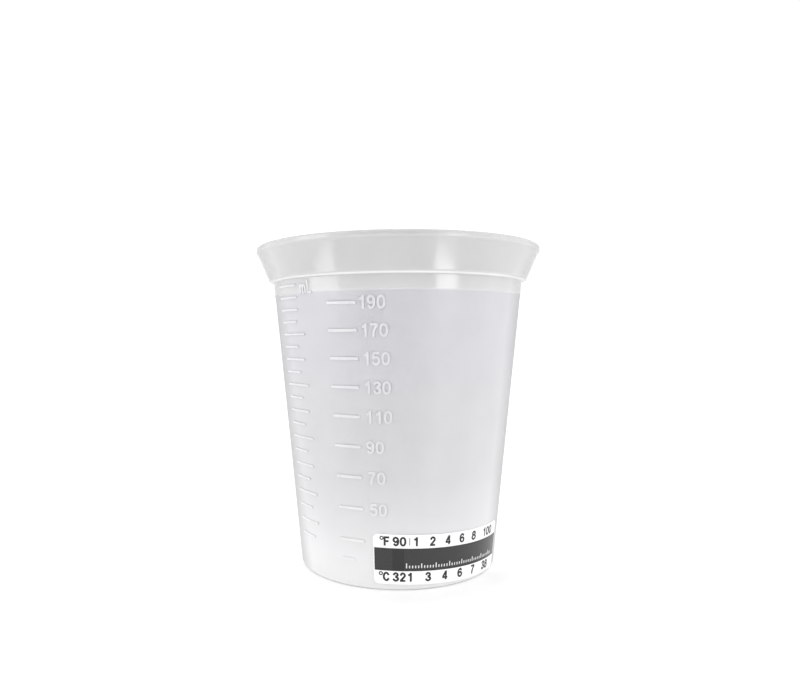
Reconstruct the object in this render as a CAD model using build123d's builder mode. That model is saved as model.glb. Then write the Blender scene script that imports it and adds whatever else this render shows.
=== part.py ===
from build123d import *
import math
import os

# A graduated specimen cup with a strip thermometer on its wall, in millimetres.
# The origin is on the table, in the middle of the foot. +Z is up, and -Y is the side with the scales and the label.
# Angles round the cup are measured from -Y towards +X, in degrees.

# Heights of the cup, from the table up
body_height = 73.6
collar_height = 3.3
shoulder_height = 0.75
flare_height = 6.95
lip_height = 1.4

# Outside radii of the cup, from the foot up
foot_radius = 27.36
body_top_radius = 33.25
ring_step = 0.12
collar_widening = 0.18
shoulder_width = 1.25
flare_widening = 2.85
lip_overhang = 0.35

# Wall, floor and foot
wall = 0.9
shoulder_rise = 0.6
floor_thickness = 1.0
foot_recess = 0.8
foot_ring_width = 2.2
recess_slope = 0.5
gate_radius = 1.6
gate_depth = 0.25

# Broken edges
foot_round = 0.5
floor_slope = 1.1
lip_chamfer = 0.35

# Raised bars of both scales
bar_proud = 0.22
bar_sunk = 0.3
bar_draft = 0.08

# Front scale: bold bars 20 ml apart, with one short bar near the foot
front_start = -30.0
front_angle = 14.0
front_bar_height = 0.75
front_lowest = 12.6
front_below_ring = 2.9
front_count = 9
foot_bar_level = 7.4
foot_bar_angle = 8.0

# Side scale: fine bars 10 ml apart, in three lengths, with shorter ones at the top beside the unit
side_start = -62.5
side_long_angle = 18.5
side_middle_angle = 17.2
side_short_angle = 13.3
side_top_angle = 15.0
side_bar_height = 0.55
side_lowest = 11.0
side_above_ring = 1.8
side_count = 20
side_top_count = 3

# Label, to the right of the front scale
label_gap_angle = 3.8
label_width = 39.2
label_bottom = 1.25
label_top = 14.3
label_tilt = 2.0
label_corner = 1.3
label_film = 0.12

# Black strip on the label
strip_margin = 0.3
strip_bottom = 4.85
strip_top = 10.75
strip_film = 0.08

# Levels and radii that follow
collar_top = body_height + collar_height
flare_foot = collar_top + shoulder_height
lip_foot = flare_foot + flare_height
overall_height = lip_foot + lip_height
floor_level = foot_recess + floor_thickness
collar_foot_radius = body_top_radius + ring_step
collar_top_radius = collar_foot_radius + collar_widening
flare_foot_radius = collar_top_radius + shoulder_width
flare_top_radius = flare_foot_radius + flare_widening
lip_radius = flare_top_radius + lip_overhang
mouth_radius = flare_top_radius - wall
recess_edge_radius = foot_radius - foot_ring_width
recess_radius = recess_edge_radius - recess_slope
taper = (body_top_radius - foot_radius) / body_height


def body_radius(height):
    """Outside radius of the tapered wall at a height above the table."""
    return foot_radius + taper * height


def outside_radius(height):
    """Outside radius of the wall below the ring, and of the collar above it."""
    if height <= body_height:
        return body_radius(height)
    return collar_foot_radius + collar_widening * (height - body_height) / collar_height


def equal_volume_heights(lowest, highest, count):
    """Heights of the marks of a scale. From one to the next, the tapered inside holds the same volume."""
    low_cube = (body_radius(lowest) - wall) ** 3
    high_cube = (body_radius(highest) - wall) ** 3
    cubes = [low_cube + (high_cube - low_cube) * i / (count - 1) for i in range(count)]
    return [(cube ** (1 / 3) + wall - foot_radius) / taper for cube in cubes]


def outwards(angle):
    """Level direction that points away from the axis at an angle round the cup."""
    return Vector(math.sin(math.radians(angle)), -math.cos(math.radians(angle)), 0)


def facing(angle):
    """Upright plane through the axis of the cup. Its x points outwards at an angle round the cup, and its y is up."""
    return Plane(origin=(0, 0, 0), x_dir=outwards(angle), z_dir=outwards(angle - 90))


def corner(section, radius, height):
    """Corner of a section that lies at a radius and a height."""
    return section.vertices().sort_by_distance((radius, height))[0]


def bar_section(level, start, height):
    """Section of a bar that stands proud of the wall, where the bar starts."""
    low, high = level - height / 2, level + height / 2
    with BuildSketch(facing(start)) as section:
        with BuildLine():
            Polyline(
                (outside_radius(low) - bar_sunk, low),
                (outside_radius(low), low),
                (outside_radius(low) + bar_proud, low + bar_draft),
                (outside_radius(high) + bar_proud, high - bar_draft),
                (outside_radius(high), high),
                (outside_radius(high) - bar_sunk, high),
                close=True,
            )
        make_face()
    return section.sketch


def side_bar_angle(number):
    """Length of a bar of the side scale, counted from 0 at the bottom."""
    if number >= side_count - side_top_count:
        return side_top_angle
    if number % 4 == 3:
        return side_long_angle
    return side_middle_angle if number % 2 == 1 else side_short_angle


# The cup is one moulding: foot ring, floor, tapered wall, collar, shoulder, flare and lip, turned about its axis
with BuildPart() as cup:
    with BuildSketch(Plane.XZ) as wall_section:
        with BuildLine():
            Polyline(
                (0, foot_recess + gate_depth),
                (gate_radius, foot_recess + gate_depth),
                (gate_radius, foot_recess),
                (recess_radius, foot_recess),
                (recess_edge_radius, 0),
                (foot_radius, 0),
                (body_top_radius, body_height),
                (collar_foot_radius, body_height),
                (collar_top_radius, collar_top),
                (flare_foot_radius, flare_foot),
                (flare_top_radius, lip_foot),
                (lip_radius, lip_foot),
                (lip_radius, overall_height),
                (mouth_radius, overall_height),
                (mouth_radius, lip_foot),
                (flare_foot_radius - wall, flare_foot + shoulder_rise),
                (collar_top_radius - wall, collar_top + shoulder_rise),
                (body_top_radius - wall, body_height),
                (body_radius(floor_level) - wall, floor_level),
                (0, floor_level),
                close=True,
            )
        make_face()
        fillet(corner(wall_section, foot_radius, 0), foot_round)
        chamfer(corner(wall_section, body_radius(floor_level) - wall, floor_level), floor_slope)
        chamfer(corner(wall_section, lip_radius, overall_height), lip_chamfer)
        chamfer(corner(wall_section, mouth_radius, overall_height), lip_chamfer)
    revolve(axis=Axis.Z)

    # Front scale
    for level in equal_volume_heights(front_lowest, body_height - front_below_ring, front_count):
        bar = bar_section(level, front_start, front_bar_height)
        revolve(bar, axis=Axis.Z, revolution_arc=front_angle)
    foot_bar = bar_section(foot_bar_level, front_start, front_bar_height)
    revolve(foot_bar, axis=Axis.Z, revolution_arc=foot_bar_angle)

    # Side scale
    side_levels = equal_volume_heights(side_lowest, body_height + side_above_ring, side_count)
    for number, level in enumerate(side_levels):
        bar = bar_section(level, side_start, side_bar_height)
        revolve(bar, axis=Axis.Z, revolution_arc=side_bar_angle(number))

# The label and the strip are films on the wall. Each is a thin shell turned about the axis, and only what an outline
# holds is kept. The outline faces the middle of the label and is pushed out from the axis.
label_level = (label_bottom + label_top) / 2
label_level_radius = body_radius(label_level)
label_angle = math.degrees(label_width / label_level_radius)
label_middle = front_start + front_angle + label_gap_angle + label_angle / 2
tilt_spare = body_top_radius * math.tan(math.radians(label_tilt))


def film_section(lift, film):
    """Section of a film on the wall. It is taller than the label, by the spare that the tilt needs."""
    low, high = label_bottom - tilt_spare, label_top + tilt_spare
    with BuildSketch(facing(label_middle)) as section:
        with BuildLine():
            Polyline(
                (body_radius(low) + lift, low),
                (body_radius(low) + lift + film, low),
                (body_radius(high) + lift + film, high),
                (body_radius(high) + lift, high),
                close=True,
            )
        make_face()
    return section.sketch


def outline_plane(bottom, top):
    """Upright plane on the axis that faces the middle of the label. Its x falls a little towards the label's end."""
    tilt = math.radians(label_tilt)
    along = outwards(label_middle + 90) * math.cos(tilt) - Vector(0, 0, math.sin(tilt))
    return Plane(origin=(0, 0, (bottom + top) / 2), x_dir=along, z_dir=outwards(label_middle))


def seen_width(length):
    """Width of a film of this length when it is bent round the wall and seen from in front of its middle."""
    return 2 * label_level_radius * math.sin(length / 2 / label_level_radius)


# Carrier of white vinyl film, with rounded corners
with BuildPart() as temperature_label:
    revolve(film_section(0, label_film), axis=Axis.Z)
    with BuildSketch(outline_plane(label_bottom, label_top)):
        RectangleRounded(seen_width(label_width), label_top - label_bottom, label_corner)
    extrude(amount=body_top_radius, mode=Mode.INTERSECT)

# Black-backed liquid crystal film between the two rows of numbers
with BuildPart() as liquid_crystal_strip:
    revolve(film_section(label_film, strip_film), axis=Axis.Z)
    with BuildSketch(outline_plane(strip_bottom, strip_top)):
        Rectangle(seen_width(label_width - 2 * strip_margin), strip_top - strip_bottom)
    extrude(amount=body_top_radius, mode=Mode.INTERSECT)

cup.part.label = "cup"
temperature_label.part.label = "temperature_label"
liquid_crystal_strip.part.label = "liquid_crystal_strip"

os.makedirs("parts", exist_ok=True)
export_step(cup.part, "parts/cup.step")
export_step(temperature_label.part, "parts/temperature_label.step")
export_step(liquid_crystal_strip.part, "parts/liquid_crystal_strip.step")
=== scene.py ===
import math
import bpy
from mathutils import Matrix, Vector


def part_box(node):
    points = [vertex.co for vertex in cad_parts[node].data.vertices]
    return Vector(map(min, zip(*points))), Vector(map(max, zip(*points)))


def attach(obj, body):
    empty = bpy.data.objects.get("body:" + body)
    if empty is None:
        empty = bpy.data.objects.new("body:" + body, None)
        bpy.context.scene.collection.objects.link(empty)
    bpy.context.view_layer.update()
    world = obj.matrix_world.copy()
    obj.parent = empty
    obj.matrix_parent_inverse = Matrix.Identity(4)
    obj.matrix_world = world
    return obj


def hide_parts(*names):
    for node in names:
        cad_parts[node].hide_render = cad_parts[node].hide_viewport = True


# A graduated specimen cup with a strip thermometer, dressed for a photograph. Sizes of the object are in
# millimetres and those of the stage in metres. Heights are counted from the table, and angles go round
# the cup from -Y towards +X, in degrees.
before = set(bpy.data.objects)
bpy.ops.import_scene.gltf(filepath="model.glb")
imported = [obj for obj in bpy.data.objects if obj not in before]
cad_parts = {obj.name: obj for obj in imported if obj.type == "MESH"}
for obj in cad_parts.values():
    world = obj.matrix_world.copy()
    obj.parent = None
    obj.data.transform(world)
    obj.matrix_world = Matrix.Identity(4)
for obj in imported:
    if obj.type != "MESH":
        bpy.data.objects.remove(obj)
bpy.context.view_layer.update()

# THE CUP. One injection moulding in milky polypropylene: foot ring, recessed floor, tapered wall, collar,
# flare and lip. Nothing is fixed to it but the label. The section is drawn once and spun about the axis.
mm = 0.001
cup_low, cup_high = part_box("cup")
cup_height = (cup_high.z - cup_low.z) / mm
lip_radius = (cup_high.x - cup_low.x) / 2 / mm
foot_radius = 27.36
body_top_radius = 33.25
body_height = 73.6
collar_top = 76.9
flare_foot = 77.65
lip_foot = 84.6
collar_foot_radius = 33.37
collar_top_radius = 33.55
flare_foot_radius = 34.8
flare_top_radius = 37.65
wall = 0.9
foot_recess = 0.8
floor_level = 1.8
recess_edge_radius = 25.16
recess_radius = 24.66
gate_radius = 1.6
gate_depth = 0.25
inner_rise = 0.6
# The lip's under edge slopes from the flare out to the lip's face: radius and height of its ends
lip_under_inner = (flare_top_radius - 0.1, lip_foot - 0.25)
lip_under_outer = (lip_radius, lip_foot + 0.15)
# Outwards per millimetre of height
taper = (body_top_radius - foot_radius) / body_height
spin_steps = 240
weld_distance = 0.002
cup_crease_angle = 32


def wall_radius(height):
    """Outside radius of the tapered wall at a height."""
    return foot_radius + taper * height


def outside_radius(height):
    """Outside radius of the wall, or of the collar above it."""
    if height <= body_height:
        return wall_radius(height)
    return collar_foot_radius + (collar_top_radius - collar_foot_radius) * (height - body_height) / (
        collar_top - body_height)


def draw_section(name, points):
    """Draw an open outline as by hand: one vertex at the first point, extruded from point to point."""
    bpy.ops.object.select_all(action="DESELECT")
    bpy.ops.mesh.primitive_plane_add(size=mm)
    outline = bpy.context.object
    outline.name = outline.data.name = name
    bpy.ops.object.mode_set(mode="EDIT")
    bpy.ops.mesh.select_all(action="SELECT")
    bpy.ops.mesh.merge(type="CENTER")
    places = [Vector((radius * mm, 0, height * mm)) for radius, height in points]
    bpy.ops.transform.translate(value=places[0])
    for here, there in zip(places, places[1:]):
        bpy.ops.mesh.extrude_region_move(TRANSFORM_OT_translate={"value": there - here})
    bpy.ops.object.mode_set(mode="OBJECT")
    return outline


def round_corner(outline, radius, height, length, segments):
    """Round the corner of an outline that lies nearest to a place, from a length before the corner."""
    place = Vector((radius * mm, 0, height * mm))
    nearest = min(outline.data.vertices, key=lambda vertex: (vertex.co - place).length).index
    bpy.ops.object.mode_set(mode="EDIT")
    bpy.ops.mesh.select_mode(type="VERT")
    bpy.ops.mesh.select_all(action="DESELECT")
    bpy.ops.object.mode_set(mode="OBJECT")
    outline.data.vertices[nearest].select = True
    bpy.ops.object.mode_set(mode="EDIT")
    bpy.ops.mesh.bevel(offset=length * mm, segments=segments, affect="VERTICES")
    bpy.ops.object.mode_set(mode="OBJECT")


cup = draw_section("cup_moulding", [
    (0, foot_recess + gate_depth),
    (gate_radius, foot_recess + gate_depth),
    (gate_radius, foot_recess),
    (recess_radius, foot_recess),
    (recess_edge_radius, 0),
    (foot_radius, 0),
    (body_top_radius, body_height),
    (collar_foot_radius, body_height),
    (collar_top_radius, collar_top),
    (flare_foot_radius, flare_foot),
    lip_under_inner,
    lip_under_outer,
    (lip_radius, cup_height),
    (flare_top_radius - wall, cup_height),
    (flare_top_radius - wall, lip_foot),
    (flare_foot_radius - wall, flare_foot + inner_rise),
    (collar_top_radius - wall, collar_top + inner_rise),
    (body_top_radius - wall, body_height),
    (wall_radius(floor_level) - wall, floor_level),
    (0, floor_level),
])
# The rounds: radius and height of the corner, how far before it the round starts, and its segments
for radius, height, length, segments in (
    (foot_radius, 0, 0.75, 7),
    (recess_edge_radius, 0, 0.2, 3),
    (recess_radius, foot_recess, 0.25, 3),
    (body_top_radius, body_height, 0.05, 2),
    (collar_foot_radius, body_height, 0.05, 2),
    (collar_top_radius, collar_top, 0.12, 3),
    (flare_foot_radius, flare_foot, 0.16, 4),
    (*lip_under_inner, 0.25, 4),
    (*lip_under_outer, 0.25, 4),
    (lip_radius, cup_height, 0.5, 6),
    (flare_top_radius - wall, cup_height, 0.45, 6),
    (flare_top_radius - wall, lip_foot, 0.5, 4),
    (flare_foot_radius - wall, flare_foot + inner_rise, 0.4, 4),
    (collar_top_radius - wall, collar_top + inner_rise, 0.4, 4),
    (wall_radius(floor_level) - wall, floor_level, 1.4, 8),
):
    round_corner(cup, radius, height, length, segments)
bpy.ops.object.mode_set(mode="EDIT")
bpy.ops.mesh.select_all(action="SELECT")
bpy.ops.mesh.spin(steps=spin_steps, angle=math.tau, center=(0, 0, 0), axis=(0, 0, 1))
bpy.ops.mesh.select_all(action="SELECT")
bpy.ops.mesh.remove_doubles(threshold=weld_distance * mm)
bpy.ops.mesh.normals_make_consistent(inside=False)
bpy.ops.object.mode_set(mode="OBJECT")
bpy.ops.object.shade_smooth_by_angle(angle=math.radians(cup_crease_angle))
# The wide faces lead the shading, so that the narrow rounds beside them don't tilt what they mirror
even = cup.modifiers.new("even_faces", "WEIGHTED_NORMAL")
even.keep_sharp = True
bpy.ops.object.modifier_apply(modifier=even.name)


def linear(code):
    """Turn an sRGB hex colour into the linear values that a shader takes."""
    parts = [int(code[i:i + 2], 16) / 255 for i in (1, 3, 5)]
    return tuple(c / 12.92 if c <= 0.04045 else ((c + 0.055) / 1.055) ** 2.4 for c in parts) + (1,)


def add(tree, kind, settings=None, links=None):
    """Add a node. Settings are its properties, its inputs by name or number, or a ramp's stops in hex.
    Links name what feeds an input."""
    node = tree.nodes.new(kind)
    for name, value in (settings or {}).items():
        if name == "stops":
            elements = node.color_ramp.elements
            while len(elements) < len(value):
                elements.new(0.5)
            for element, (place, code) in zip(elements, value):
                element.position = place
                element.color = linear(code)
        elif isinstance(name, str) and hasattr(node, name):
            setattr(node, name, value)
        else:
            node.inputs[name].default_value = value
    for name, source in (links or {}).items():
        tree.links.new(source, node.inputs[name])
    return node


def new_material(name):
    """A material with an empty node tree, and the tree."""
    material = bpy.data.materials.new(name)
    material.use_nodes = True
    material.node_tree.nodes.clear()
    return material, material.node_tree


# Polypropylene, injection moulded, unpigmented: milky and a little lavender. Its tone is painted whiter low
# down, a painted glow for the light that comes up through the floor. Light wanders about a millimetre in
# it, and its tone is painted darker edge-on, a painted shade for the longer way through the wall there. Its
# mould was satin on the wall and polished above, and its flow left it faintly cloudy and wavy.
polypropylene, tree = new_material("PP")
place = add(tree, "ShaderNodeTexCoord").outputs["Object"]
height = add(tree, "ShaderNodeSeparateXYZ", links={"Vector": place}).outputs["Z"]
share = add(tree, "ShaderNodeMapRange", {"From Min": 0.0, "From Max": cup_height * mm}, {"Value": height})
# Its tone by height, with painted light in it: painted whiter low down, a painted highlight on the line
# under the collar and on the shoulder over it, and the lip painted a little lighter against the painted
# edge shade.
# Painted light: the whiter foot, the pale bands at 73.55 and 77.25 mm and the lighter lip stand in for
# light
milk_and_painted_light = [
    (0.0, "#e1e1e1"), (8.0, "#dededf"), (14.0, "#d6d6d7"), (28.0, "#c8c8ca"), (42.0, "#c4c4c6"),
    (62.0, "#c1c1c5"), (73.45, "#c0c0c4"), (73.55, "#cdcdcf"), (73.65, "#cdcdcf"), (73.75, "#c6c6c7"),
    (76.8, "#c2c2c2"), (77.15, "#c2c2c2"), (77.25, "#e9e9e9"), (77.5, "#e9e9e9"), (77.6, "#bebebe"),
    (84.2, "#bebebe"), (84.9, "#c2c2c2"),
]
tone_with_painted_light = add(tree, "ShaderNodeValToRGB", {"stops": [(level / cup_height, code) for level, code in milk_and_painted_light]},
           {"Fac": share.outputs["Result"]})
cloud_size, cloud_strength = 9.0, 0.06
cloud = add(tree, "ShaderNodeTexNoise", {"Scale": 1 / (cloud_size * mm), "Detail": 3.0, "Roughness": 0.5},
            {"Vector": place})
cloudy = add(tree, "ShaderNodeMix", {"data_type": "RGBA", "blend_type": "OVERLAY", 0: cloud_strength},
             {6: tone_with_painted_light.outputs["Color"], 7: cloud.outputs["Fac"]})
# Painted shade: the depth ramp makes the tone darker where the wall is seen edge-on
edge_on_for_painted_shade = add(tree, "ShaderNodeLayerWeight", {"Blend": 0.5})
depth = add(tree, "ShaderNodeValToRGB", {
    "stops": [(0.0, "#ffffff"), (0.6, "#ffffff"), (0.85, "#d2d2d2"), (1.0, "#a8a8a8")],
}, {"Fac": edge_on_for_painted_shade.outputs["Facing"]})
tone_with_painted_edge_shade = add(tree, "ShaderNodeMix", {"data_type": "RGBA", "blend_type": "MULTIPLY", 0: 1.0},
            {6: cloudy.outputs[2], 7: depth.outputs["Color"]})
# The satin is finer on the real wall, and drawn as coarse as it needs to be to show
satin_size, satin_depth, satin_strength = 0.35, 0.02, 0.06
satin_top, polish_foot = 73.4, 73.8
satin = add(tree, "ShaderNodeTexNoise", {"Scale": 1 / (satin_size * mm), "Detail": 2.0}, {"Vector": place})
wave_size, wave_depth, wave_strength = 14.0, 0.25, 0.35
waves = add(tree, "ShaderNodeTexNoise", {"Scale": 1 / (wave_size * mm), "Detail": 1.0}, {"Vector": place})
matt = add(tree, "ShaderNodeMapRange", {
    "From Min": satin_top / cup_height, "From Max": polish_foot / cup_height,
    "To Min": satin_strength, "To Max": 0.0,
}, {"Value": share.outputs["Result"]})
skin = add(tree, "ShaderNodeBump", {"Distance": satin_depth * mm},
           {"Height": satin.outputs["Fac"], "Strength": matt.outputs["Result"]})
relief = add(tree, "ShaderNodeBump", {"Strength": wave_strength, "Distance": wave_depth * mm},
             {"Height": waves.outputs["Fac"], "Normal": skin.outputs["Normal"]})
polish = add(tree, "ShaderNodeValToRGB", {"stops": [
    (0.0, "#a5a5a5"),
    (satin_top / cup_height, "#a5a5a5"),
    (polish_foot / cup_height, "#6c6c6c"),
    (1.0, "#6c6c6c"),
]}, {"Fac": share.outputs["Result"]})
scatter_length = 1.2
plastic = add(tree, "ShaderNodeBsdfPrincipled", {
    "IOR": 1.49,
    "Subsurface Weight": 0.7,
    "Subsurface Radius": (1.0, 1.0, 1.0),
    "Subsurface Scale": scatter_length * mm,
}, {
    "Base Color": tone_with_painted_edge_shade.outputs[2],
    "Roughness": polish.outputs["Color"],
    "Normal": relief.outputs["Normal"],
})
add(tree, "ShaderNodeOutputMaterial", links={"Surface": plastic.outputs["BSDF"]})
cup.data.materials.append(polypropylene)
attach(cup, "root")
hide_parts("cup")


# THE SCALE BARS. Bars of the same moulding, a little proud of the wall: bold ones 20 ml apart in front,
# over a faint short one, and fine ones 10 ml apart at the side, in three lengths and a fourth at the top.
# Equal volumes lie closer together where the cup is wider.
bar_proud, foot_bar_proud = 0.18, 0.07
bar_sunk, bar_round, bar_steps = 0.15, 0.08, 12
raised_crease_angle = 40
# The room for a front bar is a little longer than the bar. Numbers and label are placed from its end.
front_start, front_angle, front_bar_angle, front_bar_height = -30.0, 14.0, 13.4, 0.75
front_lowest, front_highest, front_count = 12.6, 70.7, 9
foot_bar_level, foot_bar_angle = 7.4, 8.0
side_start, side_bar_height = -62.5, 0.55
side_lowest, side_highest, side_count = 11.0, 75.4, 20
side_long_angle, side_middle_angle, side_short_angle, side_top_angle = 18.5, 17.2, 13.3, 15.0
side_top_count = 3


def equal_volume_heights(lowest, highest, count):
    """Heights of marks between which the tapered inside holds equal volumes."""
    low_cube, high_cube = ((wall_radius(h) - wall) ** 3 for h in (lowest, highest))
    cubes = [low_cube + (high_cube - low_cube) * i / (count - 1) for i in range(count)]
    return [(cube ** (1 / 3) + wall - foot_radius) / taper for cube in cubes]


def lay_on_wall(piece, azimuth, level, radius_at=outside_radius, fall=lambda angle: 0.0):
    """Bend a flat piece round the wall. Its x goes round the cup, its y up and its z outwards, in mm."""
    middle_radius = radius_at(level)
    for vertex in piece.data.vertices:
        angle = math.radians(azimuth) + vertex.co.x / middle_radius
        height = level + vertex.co.y - fall(angle)
        radius = radius_at(height) + vertex.co.z
        vertex.co = Vector((radius * math.sin(angle), -radius * math.cos(angle), height)) * mm
    piece.data.update()


def raised_bar(start, angle, level, height, proud=bar_proud):
    """A bar on the wall, from an angle on: a block with soft edges, cut into steps so that it can bend."""
    length = math.radians(angle) * outside_radius(level)
    bpy.ops.object.select_all(action="DESELECT")
    bpy.ops.mesh.primitive_cube_add(size=1)
    bar = bpy.context.object
    bar.name = bar.data.name = "bar"
    bpy.ops.object.mode_set(mode="EDIT")
    bpy.ops.transform.resize(value=(length, height, proud + bar_sunk))
    bpy.ops.transform.translate(value=(0, 0, (proud - bar_sunk) / 2))
    bpy.ops.mesh.select_all(action="SELECT")
    bpy.ops.mesh.bevel(offset=bar_round, segments=2, affect="EDGES")
    for step in range(1, bar_steps):
        bpy.ops.mesh.select_all(action="SELECT")
        bpy.ops.mesh.bisect(plane_co=(length * (step / bar_steps - 0.5), 0, 0), plane_no=(1, 0, 0))
    bpy.ops.object.mode_set(mode="OBJECT")
    lay_on_wall(bar, start + angle / 2, level)
    return bar


def side_bar_angle(number):
    """Length of a side bar, counted from 0 at the bottom."""
    if number >= side_count - side_top_count:
        return side_top_angle
    if number % 4 == 3:
        return side_long_angle
    return side_middle_angle if number % 2 == 1 else side_short_angle


def join(name, pieces):
    """Make one piece of several."""
    bpy.ops.object.select_all(action="DESELECT")
    for piece in pieces:
        piece.select_set(True)
    bpy.context.view_layer.objects.active = pieces[0]
    bpy.ops.object.join()
    pieces[0].name = pieces[0].data.name = name
    return pieces[0]


front_levels = equal_volume_heights(front_lowest, front_highest, front_count)
side_levels = equal_volume_heights(side_lowest, side_highest, side_count)
bars = [raised_bar(front_start, front_bar_angle, level, front_bar_height) for level in front_levels]
bars.append(raised_bar(front_start, foot_bar_angle, foot_bar_level, front_bar_height, foot_bar_proud))
for number, level in enumerate(side_levels):
    bars.append(raised_bar(side_start, side_bar_angle(number), level, side_bar_height))
scale_bars = join("scale_bars", bars)
bpy.ops.object.shade_smooth_by_angle(angle=math.radians(raised_crease_angle))

# The same polypropylene on the raised marks, painted paler than the wall round them as a painted highlight
# for their edges catching the light, and painted whiter low down like the wall; a little uneven. They are
# too small for light to wander in them.
raised_plastic, tree = new_material("PP_raised")
place = add(tree, "ShaderNodeTexCoord").outputs["Object"]
height = add(tree, "ShaderNodeSeparateXYZ", links={"Vector": place}).outputs["Z"]
share = add(tree, "ShaderNodeMapRange", {"From Min": 0.0, "From Max": cup_height * mm}, {"Value": height})
# Painted light: paler than the wall as a painted highlight, and whiter low down as a painted glow
pale = [(0.0, "#e3e3e3"), (14.0, "#dddddd"), (28.0, "#d4d4d6"), (42.0, "#d0d0d3"), (77.0, "#d0d0d3")]
tone_with_painted_light = add(tree, "ShaderNodeValToRGB", {"stops": [(level / cup_height, code) for level, code in pale]},
           {"Fac": share.outputs["Result"]})
patch_size, patch_strength = 1.5, 0.15
patch = add(tree, "ShaderNodeTexNoise", {"Scale": 1 / (patch_size * mm), "Detail": 2.0}, {"Vector": place})
pale_with_painted_highlight = add(tree, "ShaderNodeMix", {"data_type": "RGBA", "blend_type": "OVERLAY", 0: patch_strength},
             {6: tone_with_painted_light.outputs["Color"], 7: patch.outputs["Fac"]})
marks = add(tree, "ShaderNodeBsdfPrincipled", {"Roughness": 0.3, "IOR": 1.49},
            {"Base Color": pale_with_painted_highlight.outputs[2]})
add(tree, "ShaderNodeOutputMaterial", links={"Surface": marks.outputs["BSDF"]})
scale_bars.data.materials.append(raised_plastic)
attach(scale_bars, "root")
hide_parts("cup")


# THE RAISED NUMBERS. Millilitres beside the front bars, and the unit on top of the side scale, raised in
# the same moulding. A sign is strokes in a box one unit high: two points make a straight one, more make a
# smooth curve, and one that ends at its first point is a ring.
sign_strokes = {
    "0": [((0.33, 0.92), (0.09, 0.5), (0.33, 0.08), (0.57, 0.5), (0.33, 0.92))],
    "1": [((0.42, 0.0), (0.42, 1.0)), ((0.42, 0.9), (0.3, 0.78), (0.14, 0.7))],
    "2": [((0.1, 0.68), (0.33, 0.92), (0.56, 0.7), (0.4, 0.42), (0.12, 0.1)), ((0.05, 0.08), (0.62, 0.08))],
    "3": [((0.09, 0.72), (0.32, 0.92), (0.54, 0.73), (0.3, 0.53)),
          ((0.3, 0.53), (0.58, 0.3), (0.32, 0.08), (0.07, 0.28))],
    "4": [((0.46, 0.0), (0.46, 1.0)), ((0.43, 0.93), (0.1, 0.3)), ((0.04, 0.27), (0.64, 0.27))],
    "5": [((0.13, 0.92), (0.58, 0.92)), ((0.17, 0.92), (0.12, 0.5)),
          ((0.12, 0.5), (0.34, 0.61), (0.57, 0.34), (0.32, 0.08), (0.07, 0.27))],
    "6": [((0.56, 0.74), (0.35, 0.92), (0.1, 0.5), (0.33, 0.08), (0.58, 0.32), (0.34, 0.56), (0.12, 0.36))],
    "7": [((0.05, 0.92), (0.62, 0.92)), ((0.57, 0.9), (0.35, 0.5), (0.25, 0.0))],
    "8": [((0.33, 0.92), (0.13, 0.74), (0.33, 0.54), (0.53, 0.74), (0.33, 0.92)),
          ((0.33, 0.54), (0.08, 0.3), (0.33, 0.08), (0.58, 0.3), (0.33, 0.54))],
    "9": [((0.1, 0.26), (0.31, 0.08), (0.56, 0.5), (0.33, 0.92), (0.08, 0.68), (0.32, 0.44), (0.54, 0.64))],
    "F": [((0.12, 0.0), (0.12, 1.0)), ((0.12, 0.92), (0.6, 0.92)), ((0.12, 0.5), (0.53, 0.5))],
    "C": [((0.62, 0.68), (0.38, 0.92), (0.1, 0.5), (0.38, 0.08), (0.63, 0.33))],
    "o": [((0.16, 1.0), (0.0, 0.83), (0.16, 0.66), (0.32, 0.83), (0.16, 1.0))],
    "m": [((0.09, 0.0), (0.09, 0.7)), ((0.1, 0.45), (0.25, 0.64), (0.36, 0.5), (0.37, 0.0)),
          ((0.38, 0.45), (0.53, 0.64), (0.64, 0.5), (0.65, 0.0))],
    "L": [((0.12, 0.0), (0.12, 1.0)), ((0.12, 0.08), (0.56, 0.08))],
}
sign_width = {"o": 0.36, "m": 0.8, "F": 0.68, "L": 0.6}
usual_sign_width = 0.73


def draw_signs(name, text, tall, stroke, depth):
    """A row of signs as flat solid strokes, centred on the origin, that stand up by a depth, in mm."""
    bpy.ops.object.select_all(action="DESELECT")
    lines = bpy.data.curves.new(name, "CURVE")
    lines.resolution_u = 7
    left = -sum(sign_width.get(sign, usual_sign_width) for sign in text) / 2
    for sign in text:
        for points in sign_strokes[sign]:
            ring = points[0] == points[-1]
            spline = lines.splines.new("BEZIER")
            spline.use_cyclic_u = ring
            points = points[:-1] if ring else points
            spline.bezier_points.add(len(points) - 1)
            for knot, (x, y) in zip(spline.bezier_points, points):
                knot.co = ((left + x) * tall, (y - 0.5) * tall, 0)
                knot.handle_left_type = knot.handle_right_type = "VECTOR" if len(points) == 2 else "AUTO"
        left += sign_width.get(sign, usual_sign_width)
    signs = bpy.data.objects.new(name, lines)
    bpy.context.scene.collection.objects.link(signs)
    signs.select_set(True)
    bpy.context.view_layer.objects.active = signs
    bpy.ops.object.convert(target="MESH")
    signs = bpy.context.object
    bpy.ops.object.mode_set(mode="EDIT")
    bpy.ops.mesh.select_all(action="SELECT")
    bpy.ops.mesh.extrude_region_move(TRANSFORM_OT_translate={"value": (0, 0, depth)})
    bpy.ops.object.mode_set(mode="OBJECT")
    broad = signs.modifiers.new("broad", "SOLIDIFY")
    broad.thickness = stroke
    broad.offset = 0
    broad.use_even_offset = True
    bpy.ops.object.modifier_apply(modifier=broad.name)
    bpy.ops.object.mode_set(mode="EDIT")
    bpy.ops.mesh.select_all(action="SELECT")
    bpy.ops.mesh.normals_make_consistent(inside=False)
    bpy.ops.object.mode_set(mode="OBJECT")
    return signs


def sink(piece, depth):
    """Lower a flat piece by a depth, in mm, before it is bent round the wall."""
    for vertex in piece.data.vertices:
        vertex.co.z -= depth


number_tall, number_stroke, number_proud, number_sunk = 3.1, 0.54, 0.15, 0.1
first_number, number_step = 50, 20
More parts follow.
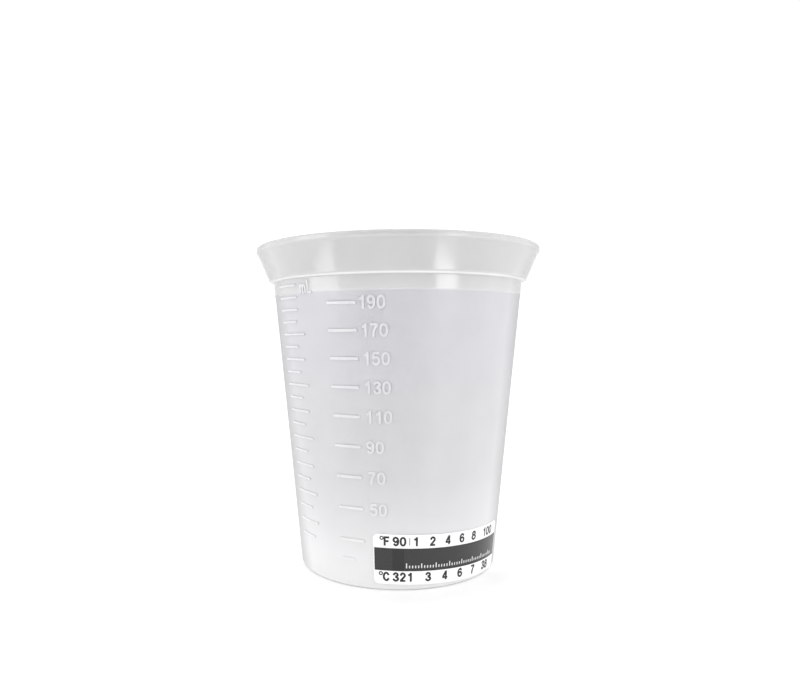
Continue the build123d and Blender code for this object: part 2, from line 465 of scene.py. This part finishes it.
# From the end of the bar's room to its number, from the lowest number up
number_gap_angles = (2.6, 2.2, 1.9, 1.7, 1.4, 1.3, 0.8, 0.0)
numbers = []
for step, level in enumerate(front_levels[1:]):
    value = str(first_number + number_step * step)
    number = draw_signs("number", value, number_tall, number_stroke, number_proud + number_sunk)
    sink(number, number_sunk)
    half_angle = math.degrees(len(value) * usual_sign_width * number_tall / 2 / wall_radius(level))
    lay_on_wall(number, front_start + front_angle + number_gap_angles[step] + half_angle, level)
    numbers.append(number)
unit_angle, unit_level = -41.0, 74.8
unit = draw_signs("unit", "mL", number_tall, number_stroke, number_proud + number_sunk)
sink(unit, number_sunk)
lay_on_wall(unit, unit_angle, unit_level)
numbers.append(unit)
raised_numbers = join("raised_numbers", numbers)
bpy.ops.object.shade_smooth_by_angle(angle=math.radians(raised_crease_angle))
raised_numbers.data.materials.append(raised_plastic)
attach(raised_numbers, "root")
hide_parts("cup")


# THE LABEL. A carrier of white vinyl film, die cut with rounded corners and stuck on the wall, a little
# askew. Its scales are printed in black.
label_width, label_bottom, label_top, label_corner, label_film = 39.2, 1.25, 14.3, 1.3, 0.12
label_level = (label_bottom + label_top) / 2
label_radius = wall_radius(label_level)
label_gap_angle, label_tilt = 3.8, 2.0
label_middle = front_start + front_angle + label_gap_angle + math.degrees(label_width / label_radius) / 2
film_steps = 96
film_crease_angle = 30


def label_fall(angle):
    """How far the label has fallen at an angle, because it is stuck on askew."""
    return label_radius * math.sin(angle - math.radians(label_middle)) * math.tan(math.radians(label_tilt))


def film(name, length, tall, depth, corner=0, steps=1):
    """A flat film with rounded corners, centred on the origin and cut into steps so that it can bend."""
    bpy.ops.object.select_all(action="DESELECT")
    bpy.ops.mesh.primitive_plane_add(size=1)
    piece = bpy.context.object
    piece.name = piece.data.name = name
    bpy.ops.object.mode_set(mode="EDIT")
    bpy.ops.transform.resize(value=(length, tall, 1))
    if corner:
        bpy.ops.mesh.bevel(offset=corner, segments=8, affect="VERTICES")
    bpy.ops.mesh.extrude_region_move(TRANSFORM_OT_translate={"value": (0, 0, depth)})
    for step in range(1, steps):
        bpy.ops.mesh.select_all(action="SELECT")
        bpy.ops.mesh.bisect(plane_co=(length * (step / steps - 0.5), 0, 0), plane_no=(1, 0, 0))
    bpy.ops.mesh.select_all(action="SELECT")
    bpy.ops.mesh.normals_make_consistent(inside=False)
    bpy.ops.object.mode_set(mode="OBJECT")
    return piece


def stick_on(piece, azimuth, level, lift):
    """Lay a flat piece on the wall, askew as the label is, and lifted by the films below it."""
    sink(piece, -lift)
    lay_on_wall(piece, azimuth, level, wall_radius, label_fall)


label = film("vinyl_label", label_width, label_top - label_bottom, label_film, label_corner, film_steps)
stick_on(label, label_middle, label_level, 0)
bpy.ops.object.shade_smooth_by_angle(angle=math.radians(film_crease_angle))

# Vinyl film, calendered, white: a soft gloss, and a faint grain, drawn coarser than it is so that it shows
vinyl, tree = new_material("vinyl")
place = add(tree, "ShaderNodeTexCoord").outputs["Object"]
grain_size, grain_depth = 0.5, 0.02
grain = add(tree, "ShaderNodeTexNoise", {"Scale": 1 / (grain_size * mm), "Detail": 4.0}, {"Vector": place})
white = add(tree, "ShaderNodeValToRGB", {"stops": [(0.3, "#f3f3f4"), (0.7, "#fbfbfb")]},
            {"Fac": grain.outputs["Fac"]})
peel = add(tree, "ShaderNodeBump", {"Strength": 0.1, "Distance": grain_depth * mm},
           {"Height": grain.outputs["Fac"]})
sheet = add(tree, "ShaderNodeBsdfPrincipled", {"Roughness": 0.38, "IOR": 1.5},
            {"Base Color": white.outputs["Color"], "Normal": peel.outputs["Normal"]})
add(tree, "ShaderNodeOutputMaterial", links={"Surface": sheet.outputs["BSDF"]})
label.data.materials.append(vinyl)
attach(label, "root")
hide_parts("temperature_label")

# The print: degrees Fahrenheit over the strip, Celsius under it, and a thin divider after the 90
print_tall, print_stroke, ring_stroke, ink_depth = 2.35, 0.51, 0.28, 0.015
upper_level, lower_level = 12.55, 3.25
upper_first, upper_step, lower_first, lower_step = 9.4, 8.55, 6.6, 9.5
divider_width, divider_tall, divider_angle = 0.16, 1.9, 6.1
# Each text with its angle and its level
row_signs = [
    ("o", -7.7, upper_level), ("F", -5.25, upper_level),
    ("90", 1.2, upper_level), ("100", 56.6, upper_level),
    *((sign, upper_first + upper_step * i, upper_level) for i, sign in enumerate("12468")),
    ("o", -8.4, lower_level), ("C", -5.7, lower_level),
    ("32", 1.05, lower_level), ("38", 56.3, lower_level),
    *((sign, lower_first + lower_step * i, lower_level) for i, sign in enumerate("13467")),
]
prints = []
for value, angle, level in row_signs:
    sign = draw_signs("print", value, print_tall, ring_stroke if value == "o" else print_stroke, ink_depth)
    stick_on(sign, angle, level, label_film)
    prints.append(sign)
divider = film("divider", divider_width, divider_tall, ink_depth)
stick_on(divider, divider_angle, upper_level, label_film)
prints.append(divider)
label_print = join("label_print", prints)


def ink_material(name, stops, roughness):
    """Screen ink, dry: it lies a little uneven, so its tone is blotted, a little coarser than it is."""
    material, tree = new_material(name)
    blot_size = 0.25
    place = add(tree, "ShaderNodeTexCoord").outputs["Object"]
    blot = add(tree, "ShaderNodeTexNoise", {"Scale": 1 / (blot_size * mm), "Detail": 2.0},
               {"Vector": place})
    shade = add(tree, "ShaderNodeValToRGB", {"stops": stops}, {"Fac": blot.outputs["Fac"]})
    dry = add(tree, "ShaderNodeBsdfPrincipled", {"Roughness": roughness},
              {"Base Color": shade.outputs["Color"]})
    add(tree, "ShaderNodeOutputMaterial", links={"Surface": dry.outputs["BSDF"]})
    return material


black_ink = ink_material("screen_ink", [(0.3, "#161617"), (0.75, "#262627")], 0.45)
label_print.data.materials.append(black_ink)
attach(label_print, "root")


# THE STRIP. Liquid crystal film with a black backing, laminated on the label between its two scales. It
# stays black at room temperature. A lighter printed field, a darker cell at 90 and a fine white scale
# show on it.
strip_margin, strip_bottom, strip_top, strip_film = 0.3, 4.85, 10.75, 0.08
strip_level = (strip_bottom + strip_top) / 2
strip_width = label_width - 2 * strip_margin
strip_tall = strip_top - strip_bottom
strip = film("liquid_crystal_film", strip_width, strip_tall, strip_film, steps=film_steps)
stick_on(strip, label_middle, strip_level, label_film)
bpy.ops.object.shade_smooth_by_angle(angle=math.radians(film_crease_angle))


def film_material(name, dark, pale, roughness):
    """Film with a black backing, nearly black, with a faint crystal grain, drawn coarser than it is."""
    material, tree = new_material(name)
    crystal_size = 0.3
    place = add(tree, "ShaderNodeTexCoord").outputs["Object"]
    grain = add(tree, "ShaderNodeTexNoise", {"Scale": 1 / (crystal_size * mm), "Detail": 3.0},
                {"Vector": place})
    shade = add(tree, "ShaderNodeValToRGB", {"stops": [(0.3, dark), (0.7, pale)]},
                {"Fac": grain.outputs["Fac"]})
    face = add(tree, "ShaderNodeBsdfPrincipled", {
        "Roughness": roughness, "Coat Weight": 0.3, "Coat Roughness": 0.2,
    }, {"Base Color": shade.outputs["Color"]})
    add(tree, "ShaderNodeOutputMaterial", links={"Surface": face.outputs["BSDF"]})
    return material


strip.data.materials.append(film_material("liquid_crystal", "#131414", "#1b1c1c", 0.35))
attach(strip, "root")
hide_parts("liquid_crystal_strip")

border, panel_depth = 0.4, 0.012
field_width, field_tall = strip_width - 2 * border, strip_tall - 2 * border
field = film("strip_field", field_width, field_tall, panel_depth, steps=film_steps)
stick_on(field, label_middle, strip_level, label_film + strip_film)
field.data.materials.append(film_material("liquid_crystal_field", "#1c1d1d", "#262727", 0.32))
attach(field, "root")
cell_width, cell_angle = 2.9, 0.45
cell = film("strip_cell", cell_width, strip_tall, 2 * panel_depth, steps=8)
stick_on(cell, cell_angle, strip_level, label_film + strip_film)
cell.data.materials.append(film_material("liquid_crystal_cell", "#090a0a", "#101111", 0.32))
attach(cell, "root")

tick_foot, tick_start, tick_step, tick_count = 5.65, 4.6, 1.55, 38
tick_width, long_tick, short_tick, ticks_to_a_long_one = 0.28, 1.25, 0.7, 5
ticks = []
for number in range(tick_count):
    tall = short_tick if number % ticks_to_a_long_one else long_tick
    tick = film("tick", tick_width, tall, 2 * panel_depth)
    stick_on(tick, tick_start + tick_step * number, tick_foot + tall / 2, label_film + strip_film)
    ticks.append(tick)
fine_scale = join("fine_scale", ticks)
white_ink = ink_material("white_screen_ink", [(0.3, "#c9cacb"), (0.7, "#e6e6e6")], 0.5)
fine_scale.data.materials.append(white_ink)
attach(fine_scale, "root")


# THE STAGE. A white room, a pale floor with no edge in sight, softboxes, and cards that the camera
# doesn't see. All its sizes are in metres.
room_strength = 1.15
floor_radius = 6
world = bpy.data.worlds.new("white_room")
bpy.context.scene.world = world
world.use_nodes = True
world.node_tree.nodes["Background"].inputs["Color"].default_value = (1, 1, 1, 1)
world.node_tree.nodes["Background"].inputs["Strength"].default_value = room_strength

bpy.ops.object.select_all(action="DESELECT")
bpy.ops.mesh.primitive_circle_add(vertices=96, radius=floor_radius, fill_type="NGON")
floor = bpy.context.object
floor.name = "floor"

# Matt white paper, which glows a little so that it stays white right up to the cup
paper, tree = new_material("paper")
sheet = add(tree, "ShaderNodeBsdfPrincipled", {
    "Base Color": linear("#fdfdfd"),
    "Roughness": 0.9,
    "Emission Color": (1, 1, 1, 1),
    "Emission Strength": 0.06,
})
add(tree, "ShaderNodeOutputMaterial", links={"Surface": sheet.outputs["BSDF"]})
floor.data.materials.append(paper)


def softbox(name, azimuth, distance, height, width, tall, watts):
    """A soft rectangular light that faces the cup from an angle round it. The camera doesn't see it."""
    data = bpy.data.lights.new(name, "AREA")
    data.shape = "RECTANGLE"
    data.size, data.size_y, data.energy = width, tall, watts
    lamp = bpy.data.objects.new(name, data)
    bpy.context.scene.collection.objects.link(lamp)
    angle = math.radians(azimuth)
    lamp.location = (distance * math.sin(angle), -distance * math.cos(angle), height)
    target = Vector((0, 0, cup_height * mm / 2))
    lamp.rotation_euler = (lamp.location - target).to_track_quat("Z", "Y").to_euler()
    lamp.visible_camera = False
    return lamp


softbox("right_softbox", azimuth=43.0, distance=0.632, height=0.09, width=0.21, tall=0.16, watts=0.65)
softbox("left_softbox", azimuth=-66.0, distance=0.628, height=0.12, width=0.34, tall=0.26, watts=0.9)
softbox("right_fill", azimuth=80, distance=0.7, height=0.25, width=0.5, tall=0.45, watts=0.22)
softbox("top_softbox", azimuth=180, distance=0.1, height=0.9, width=0.8, tall=0.8, watts=0.6)


def table_card(name, glint_angle, azimuth, half_angle, near, far, strength):
    """A card of light on the table that fans out from under the place on the flare that mirrors it."""
    flare_radius, card_level = 0.036, 0.001
    bpy.ops.object.select_all(action="DESELECT")
    bpy.ops.mesh.primitive_plane_add(size=1)
    card = bpy.context.object
    card.name = name
    glint = math.radians(glint_angle)
    for vertex in card.data.vertices:
        reach = far if vertex.co.y > 0 else near
        angle = math.radians(azimuth) + math.copysign(math.radians(half_angle), vertex.co.x)
        vertex.co = Vector((flare_radius * math.sin(glint) + reach * math.sin(angle),
                            -flare_radius * math.cos(glint) - reach * math.cos(angle), card_level))
    light, tree = new_material(name)
    glow = add(tree, "ShaderNodeEmission", {"Strength": strength})
    add(tree, "ShaderNodeOutputMaterial", links={"Surface": glow.outputs["Emission"]})
    card.data.materials.append(light)
    card.visible_camera = False


table_card("right_card", glint_angle=18.5, azimuth=45, half_angle=11, near=0.09, far=0.119, strength=8.5)
table_card("left_card", glint_angle=-30, azimuth=-69.5, half_angle=12, near=0.11, far=0.146, strength=5.5)

# A card of grey felt stands behind the camera, so that the middle of the wall stays calm
card_left, card_right, card_front, card_foot, card_top = -0.36, 0.3, -0.45, 0.08, 0.5
bpy.ops.object.select_all(action="DESELECT")
bpy.ops.mesh.primitive_plane_add(size=1)
dark_card = bpy.context.object
dark_card.name = "dark_card"
for vertex in dark_card.data.vertices:
    side = card_right if vertex.co.x > 0 else card_left
    vertex.co = Vector((side, card_front, card_top if vertex.co.y > 0 else card_foot))
felt, tree = new_material("felt")
cloth = add(tree, "ShaderNodeBsdfDiffuse", {"Color": linear("#8a8a8a")})
add(tree, "ShaderNodeOutputMaterial", links={"Surface": cloth.outputs["BSDF"]})
dark_card.data.materials.append(felt)
dark_card.visible_camera = False


# THE CAMERA. It stands in front of the cup, a little above its middle, and looks slightly down. Its turns
# are in radians, and the shifts put the cup where it stands in the photograph.
lens_data = bpy.data.cameras.new("camera")
lens_data.sensor_width = 36
lens_data.lens = 29.17
lens_data.shift_x = 0.0291
lens_data.shift_y = 0.1
lens_data.clip_start = 0.01
camera = bpy.data.objects.new("camera", lens_data)
bpy.context.scene.collection.objects.link(camera)
camera_place = (0, -182.455 * mm, 62.311 * mm)
yaw, pitch, roll = -0.0319, -0.1245, -0.0051
camera.matrix_world = (
    Matrix.Translation(camera_place)
    @ Matrix.Rotation(-yaw, 4, "Z")
    @ Matrix.Rotation(math.pi / 2 + pitch, 4, "X")
    @ Matrix.Rotation(roll, 4, "Z")
)
bpy.context.scene.camera = camera
bpy.context.scene.view_settings.view_transform = "Standard"
